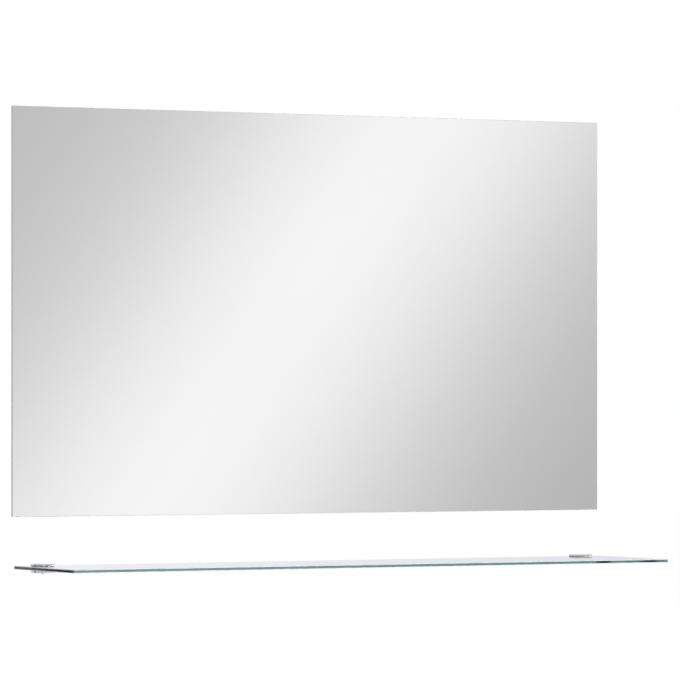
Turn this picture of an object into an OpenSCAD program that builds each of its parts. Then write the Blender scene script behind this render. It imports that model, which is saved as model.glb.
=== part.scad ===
// Frameless wall mirror with a clear glass shelf below it.
// The mirror hangs by two keyhole plates on two wall screws, and the shelf is
// gripped by two round clamps, each with a stem that stands on the wall.
//
// X runs along the wall, Y points into the wall and Z is up. The wall's face is
// the plane Y = 0. The origin lies midway between the two clamps, at the height
// of their wall screws, which is also mid-height of the clamps' mouths.

/* [Mirror] */
// Width of the mirror
mirror_w = 1000; // [500:10:1500]
// Height of the mirror
mirror_h = 600; // [300:10:1000]
// Thickness of the mirror glass
mirror_t = 4; // [3:0.5:6]
// Thickness of the silver film with its back paint
coat_t = 0.2; // [0.1:0.05:0.5]
// Clear height between the shelf's top face and the mirror's bottom edge
mirror_gap = 71; // [30:1:200]
// Radius of the mirror's corners, seen from the front
mirror_corner_r = 1.5; // [1:0.5:20]

/* [Shelf] */
// Length of the shelf along the wall
shelf_w = 1000; // [300:10:1500]
// Depth of the shelf
shelf_d = 200; // [100:5:300]
// Thickness of the shelf glass
shelf_t = 5; // [4:0.5:8]
// Distance from the wall to the shelf's rear edge
shelf_wall_gap = 14; // [12:0.5:24]
// Radius of the shelf's corners, seen from above
shelf_corner_r = 2; // [1:0.5:20]

/* [Glass edges] */
// Width of the ground arris along the mirror's edges
mirror_arris = 0.6; // [0.2:0.1:1.2]
// Width of the ground arris along the shelf's edges
shelf_arris = 0.9; // [0.2:0.1:1.4]

/* [Clamps] */
// Diameter of the clamps
clamp_d = 36; // [32:1:50]
// How far a clamp reaches over the glass
clamp_reach = 30; // [26:1:34]
// Distance from the shelf's end to a clamp's middle
clamp_inset = 41; // [30:1:140]
// Thickness of the upper jaw at its middle
upper_jaw_t = 2.6; // [2.4:0.1:5]
// Fall of the upper jaw's crown from its middle to its rim
upper_crown = 0.5; // [0.2:0.1:0.8]
// Thickness of the lower jaw at its middle
lower_jaw_t = 5.1; // [4.8:0.1:9]
// Fall of the lower jaw's dome from its middle to its rim
lower_crown = 0.9; // [0.2:0.1:1.2]
// Radius round the upper jaw's top edge
upper_rim_r = 1.2; // [0.5:0.1:1.3]
// Radius round the lower jaw's bottom edge
lower_rim_r = 1.8; // [0.5:0.1:2.4]
// Radius round the edges of the mouth
lip_r = 0.4; // [0.1:0.1:0.5]
// How far the stem's top lies below the rim of the upper jaw's crown
stem_step = 0.1; // [0:0.1:1]
// Chamfer round the stem's wall end
stem_chamfer = 0.4; // [0.2:0.1:1]
// Depth of the relief in the stem's wall end, over the rim of the plug
relief_depth = 1.5; // [0.5:0.1:2.5]
// Clearance round the plug's rim in that relief
relief_clear = 0.3; // [0.1:0.1:0.5]
// Clearance from the shelf's rear edge to the back of the mouth
mouth_clear = 0.6; // [0.2:0.1:1.5]

/* [Clamp pads and screws] */
// Thickness of the soft pads above and below the glass
pad_t = 0.8; // [0.5:0.1:1.5]
// Margin between the upper pad's edge and the jaw's rim
pad_margin = 2.5; // [2:0.5:5]
// Gap between the glass and the lower jaw
lower_gap = 1.2; // [0.9:0.1:3]
// Diameter of the pressure disc and its pad
disc_d = 18; // [14:1:20]
// Thickness of the pressure disc
disc_t = 1.2; // [1:0.1:2]
// Clearance round the disc in its pocket
disc_clear = 0.3; // [0.2:0.1:0.6]
// How far the disc can drop when the clamp is undone
disc_travel = 1; // [0.6:0.1:1.2]
// Diameter of the clamping screw
clamp_screw_d = 5; // [4:0.5:6]
// Pitch of the clamping screw's thread
clamp_thread_pitch = 0.8; // [0.6:0.1:0.9]
// How far the tightened clamping screw stands out of the lower jaw
clamp_screw_proud = 0.7; // [0:0.1:1.5]
// Key size of the clamping screw's hexagon socket
hex_key = 2.5; // [1.5:0.5:2.5]
// Depth of the hexagon socket
hex_depth = 2.4; // [1.5:0.1:2.5]
// Running clearance round the clamping screw
thread_clear = 0.05; // [0.02:0.01:0.1]

/* [Wall fixings] */
// Diameter of the wall screws
wall_screw_d = 3.5; // [3:0.5:4]
// Pitch of the wall screws' thread
wall_thread_pitch = 1.6; // [1.2:0.1:2]
// Depth of the wall screws' thread
wall_thread_depth = 0.5; // [0.3:0.05:0.6]
// Clearance round the wall screw in the clamp
wall_screw_clear = 0.25; // [0.1:0.05:0.4]
// Head diameter of the clamps' countersunk wall screws
csk_head_d = 6; // [5.5:0.1:6.2]
// Depth of the countersunk head below the back of the mouth
csk_sink = 0.3; // [0.1:0.1:0.6]
// Length of the clamps' wall screws
clamp_wall_screw_l = 40; // [35:5:50]
// Head diameter of the mirror's pan-head wall screws
pan_head_d = 7; // [6:0.1:8]
// Head height of the mirror's pan-head wall screws
pan_head_h = 2.2; // [1.5:0.1:2.4]
// Length under the head of the mirror's wall screws
hanger_screw_l = 30; // [25:5:40]
// Diameter of the wall plugs, which is the hole to drill
plug_d = 6; // [5.5:0.5:8]
// Length of the wall plugs
plug_l = 30; // [25:5:50]
// Plain length of a plug behind the wall's face
plug_neck_l = 10; // [8:1:14]
// Depth of the teeth round a plug
plug_tooth = 0.4; // [0.2:0.1:0.5]
// Number of toothed rings on a plug
plug_rings = 5; // [3:1:7]
// Width of the slit through a plug
plug_slit = 1; // [0.6:0.1:1.5]

/* [Hangers] */
// Distance from the mirror's side to the middle of a hanger plate
hanger_inset = 150; // [60:5:220]
// Distance from the mirror's top edge to the wall screw in the hanger
hanger_top_gap = 90; // [50:5:200]
// Width of a hanger plate
hanger_w = 60; // [50:1:90]
// Height of a hanger plate
hanger_h = 50; // [44:1:80]
// Radius of a hanger plate's corners
hanger_corner_r = 5; // [2:1:10]
// Thickness of the hanger's sheet steel
hanger_t = 1; // [0.8:0.1:1.5]
// Height of the raised panel above the hanger's flanges
hanger_raise = 2.6; // [2.4:0.1:4]
// Width of the raised panel's flat
hanger_panel_w = 24; // [18:1:30]
// Gap between the raised panel and the wall
hanger_wall_gap = 0.6; // [0.3:0.1:1.5]
// Inner radius of the hanger's bends
bend_r = 1; // [0.5:0.1:1.2]
// Thickness of the adhesive tape under the hanger's flanges
tape_t = 0.8; // [0.5:0.1:1.5]
// Margin between the tape and the flange's edges
tape_margin = 1.5; // [1:0.5:3]
// Width of the keyhole's narrow slot
slot_w = 4.1; // [4.1:0.1:4.5]
// Diameter of the keyhole's wide opening
keyhole_d = 9; // [8.6:0.1:11]
// How far the mirror lifts before the screw heads are free
lift = 12; // [10:1:14]
// Clearance between the slot's seat and the screw it hangs on
seat_clear = 0.05; // [0.02:0.01:0.1]
// Clearance between the raised panel and the screw head
head_clear = 0.15; // [0.1:0.05:0.3]

/* [Bumpers] */
// Diameter of the bumpers behind the mirror's lower corners
bumper_d = 16; // [10:1:30]
// Distance from the mirror's side and bottom edge to a bumper's middle
bumper_inset = 40; // [20:5:80]
// Chamfer round a bumper's wall face
bumper_chamfer = 1; // [0.5:0.1:1.5]

/* [Hidden] */
$fn = 96;
eps = 0.01;         // overrun of a cut past the face it opens
crown_fn = 720;     // sides of the very large circles behind the crowned faces

// Clamps, seen in height
mouth_h = pad_t + shelf_t + lower_gap;
mouth_top = mouth_h / 2;
mouth_bottom = -mouth_h / 2;
shelf_top = mouth_top - pad_t;
shelf_bottom = shelf_top - shelf_t;
disc_top = shelf_bottom - pad_t;
disc_bottom = disc_top - disc_t;
pocket_floor = disc_bottom - disc_travel;
clamp_bottom = mouth_bottom - lower_jaw_t;

// Clamps, seen from above
clamp_r = clamp_d / 2;
clamp_mid = shelf_wall_gap + clamp_reach - clamp_r;   // wall to the clamp's axis
mouth_back = shelf_wall_gap - mouth_clear;            // wall to the back of the mouth
stem_l = (clamp_mid - clamp_r + mouth_back) / 2;      // ends halfway through the web
stem_r = mouth_top + upper_jaw_t - upper_crown - stem_step;
clamp_x = shelf_w / 2 - clamp_inset;

// Mirror, seen from the side
standoff = hanger_wall_gap + hanger_t + hanger_raise + tape_t;
mirror_bottom = shelf_top + mirror_gap;
hanger_x = mirror_w / 2 - hanger_inset;
hanger_z = mirror_bottom + mirror_h - hanger_top_gap;
panel_inner = hanger_wall_gap + hanger_t;             // wall to the panel's inner face
head_under = panel_inner + head_clear;                // wall to the underside of a pan head

// Folded sheet of a hanger plate: middles of its bends, and its slope between them
panel_fold_x = hanger_panel_w / 2 - hanger_t;
fold_run = (2 * bend_r + hanger_t) * (sqrt(2) - 1) + hanger_raise;
flange_fold_x = panel_fold_x + fold_run;
slope_l = (fold_run + hanger_raise - hanger_t - 2 * bend_r) / sqrt(2);

function cap_radius(r, fall) = (r * r + fall * fall) / (2 * fall);

// ---------------------------------------------------------------- shared forms

module rounded_rect(w, h, r) {
    square([w - 2 * r, h], center = true);
    square([w, h - 2 * r], center = true);
    for (x = [-1, 1], y = [-1, 1])
        translate([x * (w / 2 - r), y * (h / 2 - r)]) circle(r);
}

// Section of a pane across one of its sides, with an arris on each corner
module arrised_section(w, t, arris) {
    polygon([[-w / 2, arris], [-w / 2 + arris, 0], [w / 2 - arris, 0], [w / 2, arris],
             [w / 2, t - arris], [w / 2 - arris, t], [-w / 2 + arris, t], [-w / 2, t - arris]]);
}

// Sheet of glass lying flat, from z = 0 up, with ground arrises all round
module pane(w, d, t, corner_r, arris) {
    intersection() {
        linear_extrude(t) rounded_rect(w, d, corner_r);
        rotate([90, 0, 0]) linear_extrude(d, center = true) arrised_section(w, t, arris);
        rotate([90, 0, 90]) linear_extrude(w, center = true) arrised_section(d, t, arris);
    }
}

// Turns a part that is drawn standing on z = 0 so that it grows out of the wall's face
module off_wall() rotate([90, 0, 0]) children();

module each_side() for (side = [-1, 1]) translate([side * clamp_x, 0, 0]) children();

// Half section of a jaw from its mouth face, z = 0, to its crowned outer face, z = t.
// The rim's arc is tangent to the crown and to the straight side.
module jaw_section(t, fall, rim_r) {
    cap_r = cap_radius(clamp_r, fall);
    rim_z = t - cap_r + sqrt(pow(cap_r - rim_r, 2) - pow(clamp_r - rim_r, 2));
    touch_x = (clamp_r - rim_r) * cap_r / (cap_r - rim_r);
    intersection() {
        translate([0, t - cap_r]) circle(cap_r, $fn = crown_fn);
        translate([0, rim_z - eps]) square([touch_x, t]);
    }
    translate([clamp_r - rim_r, rim_z]) circle(rim_r);
    translate([0, lip_r]) square([clamp_r, rim_z - lip_r]);
    square([clamp_r - lip_r, lip_r + eps]);
    translate([clamp_r - lip_r, lip_r]) circle(lip_r);
}

module jaw(t, fall, rim_r) rotate_extrude() jaw_section(t, fall, rim_r);

// ---------------------------------------------------------------- mirror

module mirror_glass() color([0.80, 0.84, 0.84])
    translate([0, -standoff - coat_t, mirror_bottom + mirror_h / 2])
        off_wall() pane(mirror_w, mirror_h, mirror_t, mirror_corner_r, mirror_arris);

module mirror_backing() color([0.55, 0.57, 0.58])
    translate([0, -standoff, mirror_bottom + mirror_h / 2])
        off_wall() linear_extrude(coat_t)
            rounded_rect(mirror_w - 2 * mirror_arris, mirror_h - 2 * mirror_arris, mirror_corner_r);

// Pressed steel plate: two flanges on the mirror's back, and between them a panel
// raised towards the wall, with a keyhole. z = 0 is the axis of its wall screw.
module hanger_plate() {
    difference() {
        intersection() {
            translate([0, tape_t - standoff, -lift / 2])
                linear_extrude(hanger_h, center = true) hanger_section();
            translate([0, 0, -lift / 2]) off_wall() linear_extrude(standoff)
                rounded_rect(hanger_w, hanger_h, hanger_corner_r);
        }
        off_wall() keyhole();
    }
}

// Section of the folded sheet, with the flanges' glued faces on y = 0
module hanger_section() {
    for (side = [0, 1]) mirror([side, 0]) {
        translate([panel_fold_x, hanger_raise - bend_r]) rotate(45) fold();
        translate([flange_fold_x, hanger_t + bend_r]) rotate(225) fold();
        translate([panel_fold_x, hanger_raise - bend_r]) rotate(-45)
            translate([-eps, bend_r]) square([slope_l + 2 * eps, hanger_t]);
        translate([flange_fold_x - eps, 0]) square([hanger_w / 2 - flange_fold_x + eps, hanger_t]);
    }
    translate([-panel_fold_x - eps, hanger_raise]) square([2 * (panel_fold_x + eps), hanger_t]);
}

// Bend of the sheet through 45 degrees about the origin
module fold() {
    outer_r = bend_r + hanger_t;
    intersection() {
        difference() {
            circle(outer_r);
            circle(bend_r);
        }
        polygon([[0, 0], [2 * outer_r, 0], [2 * outer_r, 2 * outer_r]]);
    }
}

// The seat at the slot's upper end hangs on the screw; the wide opening is a lift below it
module keyhole() {
    seat_z = wall_screw_d / 2 + seat_clear - slot_w / 2;
    translate([0, seat_z, 0]) cylinder(d = slot_w, h = standoff);
    translate([-slot_w / 2, -lift, 0]) cube([slot_w, lift + seat_z, standoff]);
    translate([0, -lift, 0]) cylinder(d = keyhole_d, h = standoff);
}

// Two strips of adhesive tape, one under each flange
module hanger_tape() {
    inner = flange_fold_x + tape_margin;
    outer = hanger_w / 2 - tape_margin;
    tape_h = hanger_h - 2 * hanger_corner_r;
    for (side = [0, 1]) mirror([side, 0, 0])
        translate([inner, -standoff, -lift / 2 - tape_h / 2])
            cube([outer - inner, tape_t, tape_h]);
}

module at_hanger(side) translate([side * hanger_x, 0, hanger_z]) children();

module hanger_plate_left() color("silver") at_hanger(-1) hanger_plate();
module hanger_plate_right() color("silver") at_hanger(1) hanger_plate();
module hanger_tape_left() color("white") at_hanger(-1) hanger_tape();
module hanger_tape_right() color("white") at_hanger(1) hanger_tape();

// Soft stop between the mirror's back and the wall
module bumper(side)
    translate([side * (mirror_w / 2 - bumper_inset), 0, mirror_bottom + bumper_inset]) off_wall() {
        cylinder(d1 = bumper_d - 2 * bumper_chamfer, d2 = bumper_d, h = bumper_chamfer);
        translate([0, 0, bumper_chamfer]) cylinder(d = bumper_d, h = standoff - bumper_chamfer);
    }

module bumper_left() color("whitesmoke") bumper(-1);
module bumper_right() color("whitesmoke") bumper(1);

// ---------------------------------------------------------------- wall fixings

// Cross recess in a screw head whose face is at z = 0
module cross_recess(d) {
    for (turn = [0, 90]) rotate(turn)
        translate([-d / 4, -d / 14, -d / 6]) cube([d / 2, d / 7, d / 6 + eps]);
}

// Thread along -z from z = 0, drawn as rings. The pitch is evened out to fill the length,
// and each crest has a flat an eighth of it wide.
module thread_rings(d, pitch, depth, length) {
    rings = round(length / pitch);
    step = length / rings;
    core_r = d / 2 - depth;
    rotate_extrude() polygon(concat(
        [[0, 0]],
        [for (i = [0 : rings - 1])
            each [[core_r, -i * step], [d / 2, -(i + 7 / 16) * step], [d / 2, -(i + 9 / 16) * step]]],
        [[core_r, -length], [0, -length]]));
}

// Shank along -z from z = 0: plain under the head, then threaded, ending in a point
module screw_shank(length) {
    plain = length / 4;
    point = wall_screw_d;
    translate([0, 0, -plain]) cylinder(d = wall_screw_d, h = plain);
    translate([0, 0, -plain])
        thread_rings(wall_screw_d, wall_thread_pitch, wall_thread_depth, length - plain - point);
    translate([0, 0, -length])
        cylinder(d1 = wall_screw_d / 5, d2 = wall_screw_d - 2 * wall_thread_depth, h = point);
}

module pan_head_screw() {
    edge_r = pan_head_h / 2;
    screw_shank(hanger_screw_l);
    difference() {
        rotate_extrude() {
            square([pan_head_d / 2, pan_head_h - edge_r]);
            square([pan_head_d / 2 - edge_r, pan_head_h]);
            translate([pan_head_d / 2 - edge_r, pan_head_h - edge_r]) circle(edge_r);
        }
        translate([0, 0, pan_head_h]) cross_recess(pan_head_d);
    }
}

module countersunk_screw() {
    head_h = (csk_head_d - wall_screw_d) / 2;
    difference() {
        union() {
            screw_shank(clamp_wall_screw_l);
            translate([0, 0, -head_h]) cylinder(d1 = wall_screw_d, d2 = csk_head_d, h = head_h);
        }
        cross_recess(csk_head_d);
    }
}

module hanger_screws() color("gainsboro")
    for (side = [-1, 1]) at_hanger(side)
        translate([0, -head_under, 0]) off_wall() pan_head_screw();

module clamp_wall_screws() color("gainsboro")
    each_side() translate([0, -mouth_back + csk_sink, 0]) off_wall() countersunk_screw();

// Nylon plug: a plain neck, then toothed rings with a slit that lets them spread
module wall_plug() {
    ring_l = (plug_l - plug_neck_l) / plug_rings;
    difference() {
        union() {
            cylinder(d = plug_d, h = plug_neck_l);
            for (i = [0 : plug_rings - 1])
                translate([0, 0, plug_neck_l + i * ring_l])
                    cylinder(d1 = plug_d, d2 = plug_d - 2 * plug_tooth, h = ring_l);
        }
        translate([0, 0, -eps]) cylinder(d = wall_screw_d + 2 * thread_clear, h = plug_l + 2 * eps);
        translate([-plug_d / 2, -plug_slit / 2, plug_neck_l]) cube([plug_d, plug_slit, plug_l]);
    }
}

module wall_plugs() color("lightgrey") {
    for (side = [-1, 1]) at_hanger(side) rotate([-90, 0, 0]) wall_plug();
    each_side() rotate([-90, 0, 0]) wall_plug();
}

// ---------------------------------------------------------------- shelf and clamps

module shelf_glass() color([0.72, 0.83, 0.81])
    translate([0, -shelf_wall_gap - shelf_d / 2, shelf_bottom])
        pane(shelf_w, shelf_d, shelf_t, shelf_corner_r, shelf_arris);

// Cast clamp: two crowned jaws joined behind the glass by a web, on a round stem
module clamp_body() {
    difference() {
        union() {
            translate([0, -clamp_mid, mouth_top]) jaw(upper_jaw_t, upper_crown, upper_rim_r);
            translate([0, -clamp_mid, mouth_bottom]) mirror([0, 0, 1])
                jaw(lower_jaw_t, lower_crown, lower_rim_r);
            clamp_web();
            clamp_stem();
        }
        // Bore for the wall screw, relieved over the plug and countersunk at the mouth
        translate([0, eps, 0]) off_wall() {
            cylinder(d = wall_screw_d + 2 * wall_screw_clear, h = mouth_back + 2 * eps);
            cylinder(d = plug_d + 2 * relief_clear, h = relief_depth + eps);
        }
        translate([0, -mouth_back + csk_sink, 0]) rotate([-90, 0, 0]) countersink();
        // Pocket for the pressure disc, and the clamping screw's hole below it
        translate([0, -clamp_mid, pocket_floor])
            cylinder(d = disc_d + 2 * disc_clear, h = mouth_top - pocket_floor - eps);
        translate([0, -clamp_mid, clamp_bottom - eps])
            cylinder(d = clamp_screw_d + 2 * thread_clear, h = lower_jaw_t);
    }
}

// Web behind the glass, as wide as the jaws there, reaching past their rounded lips
module clamp_web() {
    intersection() {
        translate([0, -clamp_mid, mouth_bottom - lip_r]) cylinder(r = clamp_r, h = mouth_h + 2 * lip_r);
        translate([-clamp_r, -mouth_back, mouth_bottom - clamp_r])
            cube([clamp_d, clamp_d, mouth_h + clamp_d]);
    }
}

module clamp_stem() off_wall() {
    cylinder(r1 = stem_r - stem_chamfer, r2 = stem_r, h = stem_chamfer);
    translate([0, 0, stem_chamfer]) cylinder(r = stem_r, h = stem_l - stem_chamfer);
}

// Seat of the countersunk head, from the face of the head into the web, with the
// head's sink opened in front of it
module countersink() {
    clear_d = csk_head_d + 2 * wall_screw_clear;
    bore_d = wall_screw_d + 2 * wall_screw_clear;
    cylinder(d1 = clear_d, d2 = bore_d, h = (clear_d - bore_d) / 2);
    translate([0, 0, -csk_sink - eps]) cylinder(d = clear_d, h = csk_sink + 2 * eps);
}

// Soft sheet under the upper jaw, cut off straight at the shelf's rear edge
module upper_pad() {
    intersection() {
        translate([0, -clamp_mid, shelf_top]) cylinder(r = clamp_r - pad_margin, h = pad_t);
        translate([-clamp_r, -shelf_wall_gap - clamp_d, shelf_top]) cube([clamp_d, clamp_d, pad_t]);
    }
}

module pressure_disc()
    translate([0, -clamp_mid, disc_bottom]) cylinder(d = disc_d, h = disc_t);

module lower_pad()
    translate([0, -clamp_mid, disc_top]) cylinder(d = disc_d, h = pad_t);

// Set screw under the disc, with chamfered ends and a hexagon socket from below
module clamp_screw() {
    length = disc_bottom - clamp_bottom + clamp_screw_proud;
    bevel = clamp_screw_d / 12;
    thread_depth = 0.6 * clamp_thread_pitch;
    translate([0, -clamp_mid, disc_bottom - length]) difference() {
        union() {
            cylinder(d1 = clamp_screw_d - 2 * bevel, d2 = clamp_screw_d, h = bevel);
            translate([0, 0, length - bevel])
                thread_rings(clamp_screw_d, clamp_thread_pitch, thread_depth, length - 2 * bevel);
            translate([0, 0, length - bevel])
                cylinder(d1 = clamp_screw_d, d2 = clamp_screw_d - 2 * bevel, h = bevel);
        }
        translate([0, 0, -eps]) cylinder(d = hex_key / cos(30), h = hex_depth + eps, $fn = 6);
    }
}

module at_clamp(side) translate([side * clamp_x, 0, 0]) children();

module clamp_body_left() color("lightsteelblue") at_clamp(-1) clamp_body();
module clamp_body_right() color("lightsteelblue") at_clamp(1) clamp_body();
module upper_pad_left() color("gainsboro") at_clamp(-1) upper_pad();
module upper_pad_right() color("gainsboro") at_clamp(1) upper_pad();
module pressure_disc_left() color("silver") at_clamp(-1) pressure_disc();
module pressure_disc_right() color("silver") at_clamp(1) pressure_disc();
module lower_pad_left() color("gainsboro") at_clamp(-1) lower_pad();
module lower_pad_right() color("gainsboro") at_clamp(1) lower_pad();
module clamp_screw_left() color("silver") at_clamp(-1) clamp_screw();
module clamp_screw_right() color("silver") at_clamp(1) clamp_screw();

mirror_glass();
mirror_backing();
hanger_plate_left();
hanger_plate_right();
hanger_tape_left();
hanger_tape_right();
bumper_left();
bumper_right();
hanger_screws();
wall_plugs();
shelf_glass();
clamp_body_left();
clamp_body_right();
upper_pad_left();
upper_pad_right();
pressure_disc_left();
pressure_disc_right();
lower_pad_left();
lower_pad_right();
clamp_screw_left();
clamp_screw_right();
clamp_wall_screws();
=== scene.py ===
"""Looks of a frameless wall mirror and the clear glass shelf below it.

The CAD solids are the finished shapes. This script gives each its material and
sets up the wall, the floor, the soft light and the camera. Metres; the wall's
face is y = 0, and the mirror faces -Y.
"""
import math

import bmesh
import bpy
from mathutils import Matrix, Vector


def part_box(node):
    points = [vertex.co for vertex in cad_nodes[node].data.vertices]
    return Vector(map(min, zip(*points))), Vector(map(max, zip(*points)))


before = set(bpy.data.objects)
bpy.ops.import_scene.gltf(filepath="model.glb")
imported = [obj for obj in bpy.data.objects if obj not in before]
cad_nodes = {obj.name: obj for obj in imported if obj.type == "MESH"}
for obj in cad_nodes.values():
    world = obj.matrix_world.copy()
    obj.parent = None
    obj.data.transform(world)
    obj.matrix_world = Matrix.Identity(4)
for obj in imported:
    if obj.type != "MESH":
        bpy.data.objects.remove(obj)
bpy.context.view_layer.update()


# ---------------------------------------------------------------- node helpers

def rgb(r, g, b):
    return (r, g, b, 1.0)


WHITE = rgb(1.0, 1.0, 1.0)
BLACK = rgb(0.0, 0.0, 0.0)


class Tree:
    """A node tree with short calls for the nodes used here, fed with outputs or plain values."""

    # How far apart the nodes lie in the editor
    STEP = 180
    # Numbers of the Mix node's two inputs and its output, for values and for colours
    MIX_SOCKETS = {"FLOAT": (2, 3, 0), "RGBA": (6, 7, 2)}

    def __init__(self, node_tree):
        self.node_tree = node_tree
        self.x = 0

    def add(self, kind, **settings):
        made = self.node_tree.nodes.new(kind)
        self.x += self.STEP
        made.location = (self.x, 0)
        for name, value in settings.items():
            setattr(made, name, value)
        return made

    def plug(self, value, socket):
        """Links an output to a socket, or sets the socket to a plain value."""
        if isinstance(value, bpy.types.NodeSocket):
            self.node_tree.links.new(value, socket)
        else:
            socket.default_value = value

    def feed(self, node, **inputs):
        """Links or sets a node's inputs by name, with _ for a space."""
        for name, value in inputs.items():
            self.plug(value, node.inputs[name.replace("_", " ")])
        return node

    def math(self, operation, a, b=0.0):
        made = self.add("ShaderNodeMath", operation=operation)
        for value, socket in zip((a, b), made.inputs):
            self.plug(value, socket)
        return made.outputs[0]

    def vector_math(self, operation, *vectors):
        made = self.add("ShaderNodeVectorMath", operation=operation)
        for vector, socket in zip(vectors, made.inputs):
            self.plug(vector, socket)
        return made.outputs["Value" if operation == "LENGTH" else "Vector"]

    def parts(self, vector):
        """The X, Y and Z of a vector, by name."""
        return self.feed(self.add("ShaderNodeSeparateXYZ"), Vector=vector).outputs

    def remap(self, value, from_low, from_high, to_low=0.0, to_high=1.0, smooth=False):
        made = self.add("ShaderNodeMapRange", interpolation_type="SMOOTHSTEP" if smooth else "LINEAR")
        self.feed(made, Value=value, From_Min=from_low, From_Max=from_high,
                  To_Min=to_low, To_Max=to_high)
        return made.outputs["Result"]

    def mix(self, fac, a, b, kind="RGBA"):
        """Goes from a to b as fac goes from 0 to 1: colours, or values with the kind FLOAT."""
        made = self.add("ShaderNodeMix", data_type=kind)
        first, second, result = self.MIX_SOCKETS[kind]
        for value, number in ((fac, 0), (a, first), (b, second)):
            self.plug(value, made.inputs[number])
        return made.outputs[result]

    def mix_shader(self, fac, a, b):
        made = self.add("ShaderNodeMixShader")
        for value, socket in zip((fac, a, b), made.inputs):
            self.plug(value, socket)
        return made.outputs[0]

    def noise(self, coords, scale, detail=2.0, roughness=0.5):
        made = self.add("ShaderNodeTexNoise")
        self.feed(made, Vector=coords, Scale=scale, Detail=detail, Roughness=roughness)
        return made.outputs["Fac"]

    def bump(self, height, depth, strength=1.0):
        """The normal of a relief of this depth."""
        made = self.add("ShaderNodeBump")
        self.feed(made, Strength=strength, Distance=depth, Height=height)
        return made.outputs["Normal"]

    def object_coords(self):
        return self.add("ShaderNodeTexCoord").outputs["Object"]

    def on_rays(self, *kinds):
        """1 for rays of these kinds, and 0 for the others."""
        path = self.add("ShaderNodeLightPath")
        found = path.outputs[f"Is {kinds[0]} Ray"]
        for kind in kinds[1:]:
            found = self.math("MAXIMUM", found, path.outputs[f"Is {kind} Ray"])
        return found

    def see_through_back(self, front):
        """A shader that is `front` on a face's front, and clear on its back."""
        behind = self.add("ShaderNodeNewGeometry").outputs["Backfacing"]
        return self.mix_shader(behind, front, self.add("ShaderNodeBsdfTransparent").outputs[0])

    def surface(self, shader):
        """Gives the material this shader."""
        self.feed(self.node_tree.nodes["Material Output"], Surface=shader)


# ---------------------------------------------------------------- effects that finishes share

# How much finer the small patches of an uneven shine are than the broad ones, and their share
FINE_PATCHES = 9.0
FINE_SHARE = 0.3


def new_group(name, inputs, outputs):
    """A shader node group of number inputs with their defaults, its Tree and its two ends."""
    group = bpy.data.node_groups.new(name, "ShaderNodeTree")
    for label, default in inputs.items():
        socket = group.interface.new_socket(label, in_out="INPUT", socket_type="NodeSocketFloat")
        socket.default_value = default
    for label, kind in outputs.items():
        group.interface.new_socket(label, in_out="OUTPUT", socket_type=kind)
    tree = Tree(group)
    return group, tree, tree.add("NodeGroupInput").outputs, tree.add("NodeGroupOutput")


def uneven_shine_group():
    """Roughness that wanders a little, as a wiped and handled surface has."""
    group, tree, given, out = new_group(
        "uneven shine", {"Size": 40.0, "Low": 0.1, "High": 0.2},
        {"Roughness": "NodeSocketFloat", "Mask": "NodeSocketFloat"})
    coords = tree.object_coords()
    broad = tree.noise(coords, given["Size"], detail=3.0)
    fine_size = tree.math("MULTIPLY", given["Size"], FINE_PATCHES)
    fine = tree.noise(coords, fine_size, detail=4.0, roughness=0.6)
    mask = tree.remap(tree.mix(FINE_SHARE, broad, fine, "FLOAT"), 0.35, 0.65, smooth=True)
    tree.feed(out, Roughness=tree.mix(mask, given["Low"], given["High"], "FLOAT"), Mask=mask)
    return group


def fine_grain_group():
    """Small relief of a moulded, painted or plated skin."""
    group, tree, given, out = new_group(
        "fine grain", {"Size": 2000.0, "Depth": 0.0001}, {"Normal": "NodeSocketVector"})
    height = tree.noise(tree.object_coords(), given["Size"], detail=3.0, roughness=0.6)
    tree.feed(out, Normal=tree.bump(height, given["Depth"]))
    return group


UNEVEN_SHINE = uneven_shine_group()
FINE_GRAIN = fine_grain_group()


def placed(tree, group, **inputs):
    """The outputs of a group placed in a material's tree with these values."""
    made = tree.add("ShaderNodeGroup")
    made.node_tree = group
    return tree.feed(made, **inputs).outputs


def new_material(name):
    """A material with a Principled BSDF, its Tree and that shader."""
    material = bpy.data.materials.new(name)
    material.use_nodes = True
    return material, Tree(material.node_tree), material.node_tree.nodes["Principled BSDF"]


# ---------------------------------------------------------------- finishes

# Width of the shelf's ground arrises, as in the part's source
SHELF_ARRIS = 0.0009
# How far past its edge a mask reaches, so that rounding leaves no gap in it
ARRIS_SLACK = 0.00002
FACE_SLACK = 0.00005


def arris_mask(tree, low, high, width):
    """1 on the slanting arrises of a pane that lies flat between the corners `low` and `high`.

    On an arris the distances from the outline and from the nearer face add up to its width.
    """
    from_middle = tree.vector_math("SUBTRACT", tree.object_coords(), (low + high) / 2)
    inset = tree.vector_math("SUBTRACT", (high - low) / 2, tree.vector_math("ABSOLUTE", from_middle))
    inset = tree.parts(inset)
    from_outline = tree.math("MINIMUM", inset["X"], inset["Y"])
    return tree.math("LESS_THAN", tree.math("ADD", from_outline, inset["Z"]), width + ARRIS_SLACK)


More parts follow.
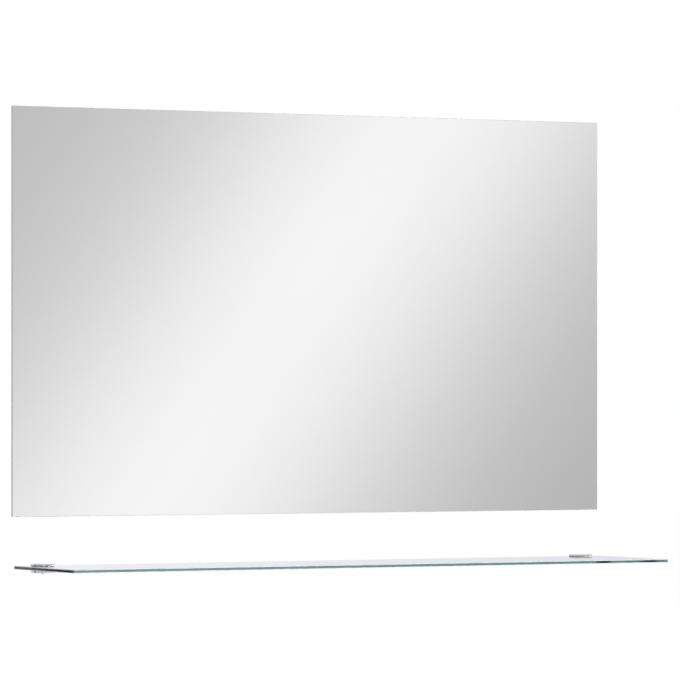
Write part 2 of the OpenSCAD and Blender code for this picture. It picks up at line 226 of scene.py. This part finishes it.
def shelf_glass():
    """Clear float glass with ground arrises. Its edges are green, as the eye looks through its length."""
    material, tree, shader = new_material("clear float glass")
    arris = arris_mask(tree, *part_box("shelf_glass"), SHELF_ARRIS)
    polished = placed(tree, UNEVEN_SHINE, Size=12.0, Low=0.0, High=0.004)
    ground = placed(tree, UNEVEN_SHINE, Size=400.0, Low=0.12, High=0.22)
    rough = tree.mix(arris, polished["Roughness"], ground["Roughness"], "FLOAT")
    # The strong coat lets the arrises mirror the strips of light above and below them
    tree.feed(shader, Base_Color=WHITE, Roughness=rough, IOR=1.52, Metallic=0.0, Transmission_Weight=1.0,
              Coat_Weight=arris, Coat_Roughness=0.15, Coat_IOR=4.0)
    tint = tree.add("ShaderNodeVolumeAbsorption")
    tree.feed(tint, Color=rgb(0.21, 0.425, 0.39), Density=10.0)
    tree.feed(material.node_tree.nodes["Material Output"], Volume=tint.outputs["Volume"])
    return material


def silvered_glass():
    """Mirror face over silver, with ground edges where the glass body shows."""
    material, tree, shader = new_material("silvered glass")
    front_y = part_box("mirror_glass")[0].y
    face = tree.math("LESS_THAN", tree.parts(tree.object_coords())["Y"], front_y + FACE_SLACK)
    haze = placed(tree, UNEVEN_SHINE, Size=3.0, Low=0.0, High=0.012)
    ground = placed(tree, UNEVEN_SHINE, Size=300.0, Low=0.22, High=0.34)
    silver = tree.mix(haze["Mask"], rgb(0.912, 0.912, 0.912), rgb(0.90, 0.90, 0.90))
    edge = tree.mix(ground["Mask"], rgb(0.33, 0.37, 0.365), rgb(0.42, 0.46, 0.455))
    rough = tree.mix(face, ground["Roughness"], haze["Roughness"], "FLOAT")
    tree.feed(shader, Base_Color=tree.mix(face, edge, silver), Metallic=face, Roughness=rough, IOR=1.52)
    return material


def back_paint():
    """Grey sealing paint over the silver, with roller grain and a few specks."""
    material, tree, shader = new_material("mirror back paint")
    coords = tree.object_coords()
    cloud = tree.remap(tree.noise(coords, 7.0, detail=5.0, roughness=0.6), 0.35, 0.65, smooth=True)
    specks = tree.remap(tree.noise(coords, 900.0, roughness=0.7), 0.68, 0.74)
    paint = tree.mix(cloud, rgb(0.235, 0.255, 0.27), rgb(0.27, 0.29, 0.305))
    paint = tree.mix(specks, paint, rgb(0.36, 0.38, 0.39))
    shine = placed(tree, UNEVEN_SHINE, Size=25.0, Low=0.42, High=0.58)
    grain = placed(tree, FINE_GRAIN, Size=1400.0, Depth=0.00006)
    tree.feed(shader, Base_Color=paint, Roughness=shine["Roughness"], Normal=grain["Normal"])
    return material


def zinc_plate():
    """Bright zinc plate, with faint blue and straw patches and rolling marks along the sheet."""
    material, tree, shader = new_material("bright zinc plate")
    coords = tree.object_coords()
    patches = tree.remap(tree.noise(coords, 90.0, detail=4.0, roughness=0.55), 0.38, 0.62, smooth=True)
    bloom = tree.mix(patches, rgb(0.50, 0.515, 0.54), rgb(0.575, 0.57, 0.55))
    shine = placed(tree, UNEVEN_SHINE, Size=120.0, Low=0.22, High=0.42)
    along = tree.feed(tree.add("ShaderNodeMapping"), Vector=coords, Scale=(1.0, 1.0, 0.04))
    marks = tree.noise(along.outputs["Vector"], 2600.0)
    tree.feed(shader, Base_Color=bloom, Metallic=1.0, Roughness=shine["Roughness"],
              Normal=tree.bump(marks, depth=0.00003, strength=0.8))
    return material


def foam_tape():
    """White closed-cell foam tape."""
    material, tree, shader = new_material("white foam tape")
    cells = tree.feed(tree.add("ShaderNodeTexVoronoi"), Vector=tree.object_coords(), Scale=3200.0)
    shine = placed(tree, UNEVEN_SHINE, Size=200.0, Low=0.6, High=0.8)
    foam = tree.mix(shine["Mask"], rgb(0.80, 0.80, 0.78), rgb(0.86, 0.86, 0.85))
    tree.feed(shader, Base_Color=foam, Roughness=shine["Roughness"],
              Normal=tree.bump(cells.outputs["Distance"], depth=0.0001, strength=0.7))
    return material


def grained_finish(name, colours, shine, grain, **settings):
    """A finely grained material that wanders between two colours as its shine does.

    `shine` and `grain` hold the values of the two groups.
    """
    material, tree, shader = new_material(name)
    uneven = placed(tree, UNEVEN_SHINE, **shine)
    tree.feed(shader, Base_Color=tree.mix(uneven["Mask"], *colours), Roughness=uneven["Roughness"],
              Normal=placed(tree, FINE_GRAIN, **grain)["Normal"], **settings)
    return material


def clear_bumper():
    """Soft, slightly milky polyurethane."""
    return grained_finish(
        "clear polyurethane", (rgb(0.84, 0.87, 0.87), rgb(0.90, 0.92, 0.92)),
        dict(Size=150.0, Low=0.22, High=0.36), dict(Size=900.0, Depth=0.00008),
        IOR=1.48, Metallic=0.0, Transmission_Weight=0.55)


def nylon():
    """Grey moulded nylon."""
    return grained_finish(
        "grey nylon", (rgb(0.36, 0.37, 0.36), rgb(0.41, 0.42, 0.41)),
        dict(Size=180.0, Low=0.38, High=0.52), dict(Size=1800.0, Depth=0.00006),
        Subsurface_Weight=0.1)


def chrome():
    """Polished chrome plate, with the faint ripple of a plated casting."""
    return grained_finish(
        "polished chrome", (rgb(0.70, 0.705, 0.72), rgb(0.665, 0.67, 0.685)),
        dict(Size=140.0, Low=0.03, High=0.075), dict(Size=260.0, Depth=0.00001),
        Metallic=1.0)


def pad_rubber():
    """Milky silicone sheet."""
    return grained_finish(
        "milky silicone", (rgb(0.84, 0.86, 0.87), rgb(0.90, 0.92, 0.93)),
        dict(Size=160.0, Low=0.4, High=0.55), dict(Size=2600.0, Depth=0.00005),
        IOR=1.41, Metallic=0.0, Transmission_Weight=0.2)


def both(name):
    """The CAD names of a piece that is there at the left and at the right."""
    return [f"{name}_left", f"{name}_right"]


def dress():
    """Puts each finish on the CAD nodes made of it."""
    finishes = (
        (silvered_glass, ["mirror_glass"]),
        (back_paint, ["mirror_backing"]),
        (shelf_glass, ["shelf_glass"]),
        (chrome, both("clamp_body")),
        (zinc_plate, both("hanger_plate") + both("pressure_disc") + both("clamp_screw")
         + ["hanger_screws", "clamp_wall_screws"]),
        (foam_tape, both("hanger_tape")),
        (clear_bumper, both("bumper")),
        (nylon, ["wall_plugs"]),
        (pad_rubber, both("upper_pad") + both("lower_pad")),
    )
    for finish, names in finishes:
        material = finish()
        for name in names:
            for slot in cad_nodes[name].material_slots:
                slot.material = material


# ---------------------------------------------------------------- stage

# A card is given by its middle, and by half its length and half its height or depth. The
# two wall cards stand just behind the wall's face, so that no piece's face lies in them
WALL_MIDDLE = (0.0, 0.0003, 0.9)
WALL_HALF_SIZE = (6.0, 2.0)

# What the glass and the clamps see of the wall, painted with shade: its greyed colour at the shelf's left
# end and at its right end, and the painted shade that it turns to, going left from the second X to the
# first
WALL_SHADING_MIDDLE = (0.0, 0.00015, 0.6)
WALL_SHADING_HALF_SIZE = (3.0, 1.5)
WALL_SHADING_TONES = (rgb(0.94, 0.94, 1.0), rgb(0.81, 0.835, 0.89))
WALL_PAINTED_SHADE = rgb(0.22, 0.25, 0.29)
WALL_PAINTED_SHADE_X = (-0.60, -0.485)

FLOOR_MIDDLE = (0.0, 0.0, -1.1)
FLOOR_HALF_SIZE = (6.0, 6.0)
FLOOR_COLOURS = (rgb(0.86, 0.86, 0.86), rgb(0.89, 0.89, 0.89))
# How far from the object the floor starts to turn to the background's white, and is white
FLOOR_FADE = (1.8, 5.0)

# Two strips of light that the shelf's slanting front arrises mirror, one above and one
# below: the name and the X and Z of each one's middle, and half its length
EDGE_LIGHTS = (
    ("upper_edge_light", 1.15, 2.0, 0.9),
    ("lower_edge_light", 0.55, -1.0, 0.8),
)
EDGE_LIGHT_Y = -0.25
EDGE_LIGHT_HALF_WIDTH = 0.22
# How far in from its ends and its sides a strip fades
EDGE_LIGHT_FADE = (0.3, 0.17)
EDGE_LIGHT_COLOUR = rgb(2.1, 2.5, 2.5)

# The soft slanting bands of light in front of the mirror: a point on the middle line of
# one, how far they lean from upright, how wide they are to the left and right of that
# line, how far apart they are, and how bright they are on it and to its left and right
BAND_Y = -3.0
BAND_HALF_SIZE = (16.0, 10.0)
BAND_X, BAND_Z = 1.532, 0.4
BAND_LEAN = math.radians(37.7)
BAND_HALF_WIDTH = (0.439, 0.492)
BAND_SPACING = 2.0
BAND_BRIGHT = 1.0
BAND_DIM = (0.555, 0.498)
# Over which values of a sine the left side's width and level turn into the right side's. The
# sine is 0 on the middle lines and half way between them, and -1 amid a left side
BAND_WIDTH_TURN = (-0.35, 0.0)
BAND_DIM_TURN = (-0.6, 0.0)
# Far to the left and right the bands fade into one level
BAND_FADE = (4.0, 6.5)
BAND_PLAIN = 0.66


def card(name, middle, across, up, material):
    """A flat rectangle with half sides `across` and `up`, facing their cross product."""
    mesh = bpy.data.meshes.new(name)
    bm = bmesh.new()
    bmesh.ops.create_grid(bm, x_segments=1, y_segments=1, size=1.0)
    across, up, middle = Vector(across), Vector(up), Vector(middle)
    turn = Matrix((across, up, across.cross(up).normalized())).transposed().to_4x4()
    bmesh.ops.transform(bm, matrix=Matrix.Translation(middle) @ turn, verts=bm.verts)
    bm.to_mesh(mesh)
    bm.free()
    mesh.materials.append(material)
    made = bpy.data.objects.new(name, mesh)
    bpy.context.scene.collection.objects.link(made)
    return made


def upright_card(name, middle, half_size, material):
    """A card that stands and faces away from the wall."""
    half_length, half_height = half_size
    return card(name, middle, (half_length, 0.0, 0.0), (0.0, 0.0, half_height), material)


def flat_card(name, middle, half_size, material):
    """A card that lies level and faces up."""
    half_length, half_depth = half_size
    return card(name, middle, (half_length, 0.0, 0.0), (0.0, half_depth, 0.0), material)


def seen_only_in_gloss(made):
    made.visible_camera = False
    made.visible_diffuse = False
    made.visible_shadow = False
    made.visible_transmission = False
    made.visible_volume_scatter = False


def glow_material(name, colour, see_through_back=False):
    """A card's material: it glows with a plain colour, or with the one that colour(tree) builds."""
    material, tree, principled = new_material(name)
    tree.node_tree.nodes.remove(principled)
    glow = tree.feed(tree.add("ShaderNodeEmission"), Color=colour(tree) if callable(colour) else colour)
    front = glow.outputs[0]
    tree.surface(tree.see_through_back(front) if see_through_back else front)
    return material


def painted_wall_shading_colour(tree):
    """Painted wall shading: bluish white along the shelf, and painted shade to its left."""
    x = tree.parts(tree.object_coords())["X"]
    low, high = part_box("shelf_glass")
    pale = tree.mix(tree.remap(x, low.x, high.x), *WALL_SHADING_TONES)
    into_painted_shade = tree.remap(x, *WALL_PAINTED_SHADE_X, smooth=True)
    # The painted shade is for reflections alone
    return tree.mix(tree.math("MAXIMUM", into_painted_shade, tree.on_rays("Transmission")), WALL_PAINTED_SHADE, pale)


def band_colour(tree):
    """Bright along slanting lines and grey between them, by a bell curve."""
    spot = tree.parts(tree.object_coords())
    shifted_x = tree.math("SUBTRACT", spot["X"], BAND_X)
    shifted_z = tree.math("SUBTRACT", spot["Z"], BAND_Z)
    away = tree.math("SUBTRACT", tree.math("MULTIPLY", shifted_x, math.cos(BAND_LEAN)),
                     tree.math("MULTIPLY", shifted_z, math.sin(BAND_LEAN)))
    # Below 0 to the left of the nearest middle line, and above 0 to its right
    side = tree.math("SINE", tree.math("MULTIPLY", away, 2 * math.pi / BAND_SPACING))
    half_width = tree.remap(side, *BAND_WIDTH_TURN, *BAND_HALF_WIDTH)
    dim = tree.remap(side, *BAND_DIM_TURN, *BAND_DIM)
    ratio = tree.math("DIVIDE", tree.math("PINGPONG", away, BAND_SPACING / 2), half_width)
    bell = tree.math("EXPONENT", tree.math("MULTIPLY", tree.math("MULTIPLY", ratio, ratio), -1.0))
    banded = tree.mix(tree.remap(bell, 0.0, 1.0, dim, BAND_BRIGHT), BLACK, WHITE)
    far = tree.remap(tree.math("ABSOLUTE", spot["X"]), *BAND_FADE, smooth=True)
    return tree.mix(far, banded, rgb(BAND_PLAIN, BAND_PLAIN, BAND_PLAIN))


def edge_light_colour(tree, middle_x, half_length):
    """Cool white along a strip's middle, fading to the white round it at its edges."""
    spot = tree.parts(tree.object_coords())
    end_fade, side_fade = EDGE_LIGHT_FADE
    lit = []
    for axis, middle, half, fade in (("X", middle_x, half_length, end_fade),
                                     ("Y", EDGE_LIGHT_Y, EDGE_LIGHT_HALF_WIDTH, side_fade)):
        off = tree.math("ABSOLUTE", tree.math("SUBTRACT", spot[axis], middle))
        lit.append(tree.remap(off, half - fade, half, 1.0, 0.0, smooth=True))
    return tree.mix(tree.math("MULTIPLY", *lit), WHITE, EDGE_LIGHT_COLOUR)


def floor_material():
    """Pale floor that turns to the white of the background away from the object.

    It is clear from below, so that the shelf's underside shows.
    """
    material, tree, shader = new_material("pale floor")
    coords = tree.object_coords()
    pale = tree.mix(tree.noise(coords, 1.5, detail=3.0), *FLOOR_COLOURS)
    tree.feed(shader, Base_Color=pale, Roughness=0.9)
    away = tree.remap(tree.vector_math("LENGTH", coords), *FLOOR_FADE, smooth=True)
    seen_white = tree.math("MULTIPLY", away, tree.on_rays("Camera", "Transmission"))
    white = tree.add("ShaderNodeEmission").outputs[0]
    tree.surface(tree.see_through_back(tree.mix_shader(seen_white, shader.outputs[0], white)))
    return material


def build_stage():
    # The wall is clear from behind, so that the mirror's back shows
    wall = upright_card("wall_backdrop", WALL_MIDDLE, WALL_HALF_SIZE,
                        glow_material("white wall", WHITE, see_through_back=True))
    wall.visible_diffuse = False
    wall.visible_shadow = False
    # A card seen only in reflections and through the glass, painted with the wall's shading and shade
    tone = upright_card("painted_wall_shading", WALL_SHADING_MIDDLE, WALL_SHADING_HALF_SIZE,
                        glow_material("painted wall shading", painted_wall_shading_colour, see_through_back=True))
    seen_only_in_gloss(tone)
    tone.visible_transmission = True
    bands = upright_card("soft_bands", (0.0, BAND_Y, 0.0), BAND_HALF_SIZE,
                         glow_material("soft bands", band_colour))
    seen_only_in_gloss(bands)
    for name, x, z, half_length in EDGE_LIGHTS:
        glow = glow_material(name, lambda tree: edge_light_colour(tree, x, half_length))
        strip = flat_card(name, (x, EDGE_LIGHT_Y, z), (half_length, EDGE_LIGHT_HALF_WIDTH), glow)
        seen_only_in_gloss(strip)
    floor = flat_card("floor", FLOOR_MIDDLE, FLOOR_HALF_SIZE, floor_material())
    # The mirror shows the bands alone, without the floor's far edge across them
    floor.visible_glossy = False


# ---------------------------------------------------------------- light

# How brightly the world lights the object. Seen itself it is plain white
WORLD_LIGHT = 0.75

# Each soft box's name, its place, what it is aimed at, its width and height, its watts
# and the spread of its light. The side box's light skims the shelf, into the clamps' gaps
SOFT_BOXES = (
    ("soft box", (-1.6, -2.2, 2.4), (0.0, 0.0, 0.3), (2.4, 1.6), 30.0, math.radians(180.0)),
    ("side box", (3.2, -2.6, 0.3), (-0.3, 0.0, 0.0), (1.0, 0.5), 16.0, math.radians(40.0)),
)


def build_world():
    world = bpy.data.worlds.new("soft studio")
    bpy.context.scene.world = world
    world.use_nodes = True
    tree = Tree(world.node_tree)
    lit = tree.feed(world.node_tree.nodes["Background"], Color=WHITE, Strength=WORLD_LIGHT)
    seen = tree.feed(tree.add("ShaderNodeBackground"), Color=WHITE, Strength=1.0)
    either = tree.mix_shader(tree.on_rays("Camera", "Glossy", "Transmission"),
                             lit.outputs[0], seen.outputs[0])
    tree.feed(world.node_tree.nodes["World Output"], Surface=either)


def soft_box(name, place, aim, size, watts, spread):
    lamp = bpy.data.lights.new(name, "AREA")
    lamp.shape = "RECTANGLE"
    lamp.size, lamp.size_y = size
    lamp.energy = watts
    lamp.spread = spread
    box = bpy.data.objects.new(name, lamp)
    bpy.context.scene.collection.objects.link(box)
    box.location = place
    box.rotation_euler = (Vector(aim) - box.location).to_track_quat("-Z", "Y").to_euler()
    box.visible_glossy = False
    box.visible_transmission = False


# ---------------------------------------------------------------- camera

# The photograph's viewpoint: level, well back, to the mirror's left. The lens and the
# film's width are in millimetres, and the shift is a share of that width
CAMERA_PLACE = (-3.6759, -6.7964, 0.2520)
CAMERA_TURN = math.radians(-28.73)
CAMERA_LENS = 271.67
CAMERA_FILM = 36.0
CAMERA_SHIFT = 0.0805
CAMERA_REACH = 100.0


def build_camera():
    lens = bpy.data.cameras.new("camera")
    lens.sensor_width = CAMERA_FILM
    lens.lens = CAMERA_LENS
    lens.shift_y = CAMERA_SHIFT
    lens.clip_end = CAMERA_REACH
    camera = bpy.data.objects.new("camera", lens)
    bpy.context.scene.collection.objects.link(camera)
    camera.location = CAMERA_PLACE
    camera.rotation_euler = (math.radians(90.0), 0.0, CAMERA_TURN)
    bpy.context.scene.camera = camera


dress()
build_stage()
build_world()
for settings in SOFT_BOXES:
    soft_box(*settings)
build_camera()
bpy.context.scene.view_settings.view_transform = "Standard"
